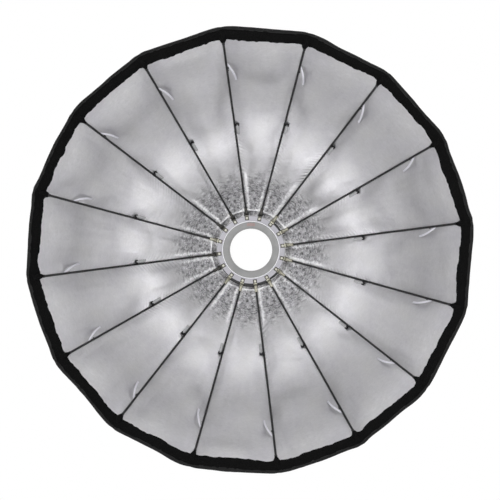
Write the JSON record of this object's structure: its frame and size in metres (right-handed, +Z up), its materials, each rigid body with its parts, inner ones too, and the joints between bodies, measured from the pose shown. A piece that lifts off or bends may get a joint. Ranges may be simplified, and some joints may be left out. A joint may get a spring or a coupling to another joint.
{
  "type": "photographic softbox",
  "caption": "Deep parabolic folding softbox with a silver inside, a turning rib hub, hinged ribs, cloth gores and a three-lug bayonet ring for a studio light.",
  "frame": {"origin": "on the axis, in the plane of the bayonet seat face at the rear of the mount ring", "axes": "+Y points to the rear, towards the light; the opening faces -Y; +X is to the right seen from the front and +Z is up"},
  "size_m": [0.8972, 0.4713, 0.8972],
  "materials": {
    "insert_grey": "satin",
    "index_red": "matte",
    "satin_aluminium": "satin",
    "screw_steel": "satin",
    "zinc": "satin",
    "black_metal": "satin",
    "rod_black": "satin",
    "silver_cloth": "metallic",
    "black_cloth": "matte",
    "white_elastic": "matte"
  },
  "bodies": {
    "mount": {"mount_ring": "insert_grey", "retaining_ring": "insert_grey", "index_mark": "index_red"},
    "hub": {"hub_ring": "black_metal", "hub_face_plate": "satin_aluminium", "rib_pivot_pins": "screw_steel", "rib_catch_springs": "zinc", "rear_collar": "black_cloth", "collar_clamp_ring": "black_metal", "clamp_ring_screws": "screw_steel"},
    "rotation_lock": {"rotation_lock_screw": "black_metal"},
    "rib_01": {"rib_lever_01": "zinc", "rib_rod_01": "rod_black"},
    "gore_01": {"gore_panel_01": "silver_cloth"},
    "rib_02": {"rib_lever_02": "zinc", "rib_rod_02": "rod_black"},
    "gore_02": {"gore_panel_02": "silver_cloth"},
    "rib_03": {"rib_lever_03": "zinc", "rib_rod_03": "rod_black"},
    "gore_03": {"gore_panel_03": "silver_cloth"},
    "rib_04": {"rib_lever_04": "zinc", "rib_rod_04": "rod_black"},
    "gore_04": {"gore_panel_04": "silver_cloth"},
    "rib_05": {"rib_lever_05": "zinc", "rib_rod_05": "rod_black"},
    "gore_05": {"gore_panel_05": "silver_cloth"},
    "rib_06": {"rib_lever_06": "zinc", "rib_rod_06": "rod_black"},
    "gore_06": {"gore_panel_06": "silver_cloth"},
    "rib_07": {"rib_lever_07": "zinc", "rib_rod_07": "rod_black"},
    "gore_07": {"gore_panel_07": "silver_cloth"},
    "rib_08": {"rib_lever_08": "zinc", "rib_rod_08": "rod_black"},
    "gore_08": {"gore_panel_08": "silver_cloth"},
    "rib_09": {"rib_lever_09": "zinc", "rib_rod_09": "rod_black"},
    "gore_09": {"gore_panel_09": "silver_cloth"},
    "rib_10": {"rib_lever_10": "zinc", "rib_rod_10": "rod_black"},
    "gore_10": {"gore_panel_10": "silver_cloth"},
    "rib_11": {"rib_lever_11": "zinc", "rib_rod_11": "rod_black"},
    "gore_11": {"gore_panel_11": "silver_cloth"},
    "rib_12": {"rib_lever_12": "zinc", "rib_rod_12": "rod_black"},
    "gore_12": {"gore_panel_12": "silver_cloth"},
    "rib_13": {"rib_lever_13": "zinc", "rib_rod_13": "rod_black"},
    "gore_13": {"gore_panel_13": "silver_cloth"},
    "rib_14": {"rib_lever_14": "zinc", "rib_rod_14": "rod_black"},
    "gore_14": {"gore_panel_14": "silver_cloth"},
    "rib_15": {"rib_lever_15": "zinc", "rib_rod_15": "rod_black"},
    "gore_15": {"gore_panel_15": "silver_cloth"},
    "rib_16": {"rib_lever_16": "zinc", "rib_rod_16": "rod_black"},
    "gore_16": {"gore_panel_16": "silver_cloth"}
  },
  "joints": [
    {"name": "hub_rotation", "type": "hinge", "parent": "mount", "child": "hub", "pos_m": [0, 0, 0], "axis": [0, 1, 0], "continuous": true},
    {"name": "rotation_lock_turn", "type": "hinge", "parent": "hub", "child": "rotation_lock", "pos_m": [-0.00732, -0.0086, -0.10474], "axis": [-0.0698, 0, -0.9976], "range_deg": [0, 270]},
    {"name": "rib_01_fold", "type": "hinge", "parent": "hub", "child": "rib_01", "pos_m": [0.07936, -0.013, 0.0101], "axis": [0.1262, 0, -0.992], "range_deg": [0, 44]},
    {"name": "rib_02_fold", "type": "hinge", "parent": "hub", "child": "rib_02", "pos_m": [0.06946, -0.013, 0.0397], "axis": [0.4962, 0, -0.8682], "range_deg": [0, 44]},
    {"name": "rib_03_fold", "type": "hinge", "parent": "hub", "child": "rib_03", "pos_m": [0.04898, -0.013, 0.06326], "axis": [0.7907, 0, -0.6122], "range_deg": [0, 44]},
    {"name": "rib_04_fold", "type": "hinge", "parent": "hub", "child": "rib_04", "pos_m": [0.02104, -0.013, 0.07718], "axis": [0.9648, 0, -0.263], "range_deg": [0, 44]},
    {"name": "rib_05_fold", "type": "hinge", "parent": "hub", "child": "rib_05", "pos_m": [-0.0101, -0.013, 0.07936], "axis": [0.992, 0, 0.1262], "range_deg": [0, 44]},
    {"name": "rib_06_fold", "type": "hinge", "parent": "hub", "child": "rib_06", "pos_m": [-0.0397, -0.013, 0.06946], "axis": [0.8682, 0, 0.4962], "range_deg": [0, 44]},
    {"name": "rib_07_fold", "type": "hinge", "parent": "hub", "child": "rib_07", "pos_m": [-0.06326, -0.013, 0.04898], "axis": [0.6122, 0, 0.7907], "range_deg": [0, 44]},
    {"name": "rib_08_fold", "type": "hinge", "parent": "hub", "child": "rib_08", "pos_m": [-0.07718, -0.013, 0.02104], "axis": [0.263, 0, 0.9648], "range_deg": [0, 44]},
    {"name": "rib_09_fold", "type": "hinge", "parent": "hub", "child": "rib_09", "pos_m": [-0.07936, -0.013, -0.0101], "axis": [-0.1262, 0, 0.992], "range_deg": [0, 44]},
    {"name": "rib_10_fold", "type": "hinge", "parent": "hub", "child": "rib_10", "pos_m": [-0.06946, -0.013, -0.0397], "axis": [-0.4962, 0, 0.8682], "range_deg": [0, 44]},
    {"name": "rib_11_fold", "type": "hinge", "parent": "hub", "child": "rib_11", "pos_m": [-0.04898, -0.013, -0.06326], "axis": [-0.7907, 0, 0.6122], "range_deg": [0, 44]},
    {"name": "rib_12_fold", "type": "hinge", "parent": "hub", "child": "rib_12", "pos_m": [-0.02104, -0.013, -0.07718], "axis": [-0.9648, 0, 0.263], "range_deg": [0, 44]},
    {"name": "rib_13_fold", "type": "hinge", "parent": "hub", "child": "rib_13", "pos_m": [0.0101, -0.013, -0.07936], "axis": [-0.992, 0, -0.1262], "range_deg": [0, 44]},
    {"name": "rib_14_fold", "type": "hinge", "parent": "hub", "child": "rib_14", "pos_m": [0.0397, -0.013, -0.06946], "axis": [-0.8682, 0, -0.4962], "range_deg": [0, 44]},
    {"name": "rib_15_fold", "type": "hinge", "parent": "hub", "child": "rib_15", "pos_m": [0.06326, -0.013, -0.04898], "axis": [-0.6122, 0, -0.7907], "range_deg": [0, 44]},
    {"name": "rib_16_fold", "type": "hinge", "parent": "hub", "child": "rib_16", "pos_m": [0.07718, -0.013, -0.02104], "axis": [-0.263, 0, -0.9648], "range_deg": [0, 44]},
    {"name": "gore_01_gather", "type": "hinge", "parent": "rib_01", "child": "gore_01", "pos_m": [0.07735, -0.013, 0.02588], "axis": [0.8816, 0.3684, 0.295], "range_deg": [0, 16.77], "deforming": ["gore_panel_01"]},
    {"name": "gore_02_gather", "type": "hinge", "parent": "rib_02", "child": "gore_02", "pos_m": [0.06156, -0.013, 0.05351], "axis": [0.7016, 0.3684, 0.6099], "range_deg": [0, 16.77], "deforming": ["gore_panel_02"]},
    {"name": "gore_03_gather", "type": "hinge", "parent": "rib_03", "child": "gore_03", "pos_m": [0.0364, -0.013, 0.073], "axis": [0.4148, 0.3684, 0.832], "range_deg": [0, 16.77], "deforming": ["gore_panel_03"]},
    {"name": "gore_04_gather", "type": "hinge", "parent": "rib_04", "child": "gore_04", "pos_m": [0.00569, -0.013, 0.08137], "axis": [0.0649, 0.3684, 0.9274], "range_deg": [0, 16.77], "deforming": ["gore_panel_04"]},
    {"name": "gore_05_gather", "type": "hinge", "parent": "rib_05", "child": "gore_05", "pos_m": [-0.02588, -0.013, 0.07735], "axis": [-0.295, 0.3684, 0.8816], "range_deg": [0, 16.77], "deforming": ["gore_panel_05"]},
    {"name": "gore_06_gather", "type": "hinge", "parent": "rib_06", "child": "gore_06", "pos_m": [-0.05351, -0.013, 0.06156], "axis": [-0.6099, 0.3684, 0.7016], "range_deg": [0, 16.77], "deforming": ["gore_panel_06"]},
    {"name": "gore_07_gather", "type": "hinge", "parent": "rib_07", "child": "gore_07", "pos_m": [-0.073, -0.013, 0.0364], "axis": [-0.832, 0.3684, 0.4148], "range_deg": [0, 16.77], "deforming": ["gore_panel_07"]},
    {"name": "gore_08_gather", "type": "hinge", "parent": "rib_08", "child": "gore_08", "pos_m": [-0.08137, -0.013, 0.00569], "axis": [-0.9274, 0.3684, 0.0649], "range_deg": [0, 16.77], "deforming": ["gore_panel_08"]},
    {"name": "gore_09_gather", "type": "hinge", "parent": "rib_09", "child": "gore_09", "pos_m": [-0.07735, -0.013, -0.02588], "axis": [-0.8816, 0.3684, -0.295], "range_deg": [0, 16.77], "deforming": ["gore_panel_09"]},
    {"name": "gore_10_gather", "type": "hinge", "parent": "rib_10", "child": "gore_10", "pos_m": [-0.06156, -0.013, -0.05351], "axis": [-0.7016, 0.3684, -0.6099], "range_deg": [0, 16.77], "deforming": ["gore_panel_10"]},
    {"name": "gore_11_gather", "type": "hinge", "parent": "rib_11", "child": "gore_11", "pos_m": [-0.0364, -0.013, -0.073], "axis": [-0.4148, 0.3684, -0.832], "range_deg": [0, 16.77], "deforming": ["gore_panel_11"]},
    {"name": "gore_12_gather", "type": "hinge", "parent": "rib_12", "child": "gore_12", "pos_m": [-0.00569, -0.013, -0.08137], "axis": [-0.0649, 0.3684, -0.9274], "range_deg": [0, 16.77], "deforming": ["gore_panel_12"]},
    {"name": "gore_13_gather", "type": "hinge", "parent": "rib_13", "child": "gore_13", "pos_m": [0.02588, -0.013, -0.07735], "axis": [0.295, 0.3684, -0.8816], "range_deg": [0, 16.77], "deforming": ["gore_panel_13"]},
    {"name": "gore_14_gather", "type": "hinge", "parent": "rib_14", "child": "gore_14", "pos_m": [0.05351, -0.013, -0.06156], "axis": [0.6099, 0.3684, -0.7016], "range_deg": [0, 16.77], "deforming": ["gore_panel_14"]},
    {"name": "gore_15_gather", "type": "hinge", "parent": "rib_15", "child": "gore_15", "pos_m": [0.073, -0.013, -0.0364], "axis": [0.832, 0.3684, -0.4148], "range_deg": [0, 16.77], "deforming": ["gore_panel_15"]},
    {"name": "gore_16_gather", "type": "hinge", "parent": "rib_16", "child": "gore_16", "pos_m": [0.08137, -0.013, -0.00569], "axis": [0.9274, 0.3684, -0.0649], "range_deg": [0, 16.77], "deforming": ["gore_panel_16"]}
  ],
  "couplings": [
    {"joint": "rib_02_fold", "follows": "rib_01_fold", "ratio": 1},
    {"joint": "rib_03_fold", "follows": "rib_01_fold", "ratio": 1},
    {"joint": "rib_04_fold", "follows": "rib_01_fold", "ratio": 1},
    {"joint": "rib_05_fold", "follows": "rib_01_fold", "ratio": 1},
    {"joint": "rib_06_fold", "follows": "rib_01_fold", "ratio": 1},
    {"joint": "rib_07_fold", "follows": "rib_01_fold", "ratio": 1},
    {"joint": "rib_08_fold", "follows": "rib_01_fold", "ratio": 1},
    {"joint": "rib_09_fold", "follows": "rib_01_fold", "ratio": 1},
    {"joint": "rib_10_fold", "follows": "rib_01_fold", "ratio": 1},
    {"joint": "rib_11_fold", "follows": "rib_01_fold", "ratio": 1},
    {"joint": "rib_12_fold", "follows": "rib_01_fold", "ratio": 1},
    {"joint": "rib_13_fold", "follows": "rib_01_fold", "ratio": 1},
    {"joint": "rib_14_fold", "follows": "rib_01_fold", "ratio": 1},
    {"joint": "rib_15_fold", "follows": "rib_01_fold", "ratio": 1},
    {"joint": "rib_16_fold", "follows": "rib_01_fold", "ratio": 1},
    {"joint": "gore_01_gather", "follows": "rib_01_fold", "ratio": 0.381},
    {"joint": "gore_02_gather", "follows": "rib_01_fold", "ratio": 0.381},
    {"joint": "gore_03_gather", "follows": "rib_01_fold", "ratio": 0.381},
    {"joint": "gore_04_gather", "follows": "rib_01_fold", "ratio": 0.381},
    {"joint": "gore_05_gather", "follows": "rib_01_fold", "ratio": 0.381},
    {"joint": "gore_06_gather", "follows": "rib_01_fold", "ratio": 0.381},
    {"joint": "gore_07_gather", "follows": "rib_01_fold", "ratio": 0.381},
    {"joint": "gore_08_gather", "follows": "rib_01_fold", "ratio": 0.381},
    {"joint": "gore_09_gather", "follows": "rib_01_fold", "ratio": 0.381},
    {"joint": "gore_10_gather", "follows": "rib_01_fold", "ratio": 0.381},
    {"joint": "gore_11_gather", "follows": "rib_01_fold", "ratio": 0.381},
    {"joint": "gore_12_gather", "follows": "rib_01_fold", "ratio": 0.381},
    {"joint": "gore_13_gather", "follows": "rib_01_fold", "ratio": 0.381},
    {"joint": "gore_14_gather", "follows": "rib_01_fold", "ratio": 0.381},
    {"joint": "gore_15_gather", "follows": "rib_01_fold", "ratio": 0.381},
    {"joint": "gore_16_gather", "follows": "rib_01_fold", "ratio": 0.381}
  ]
}
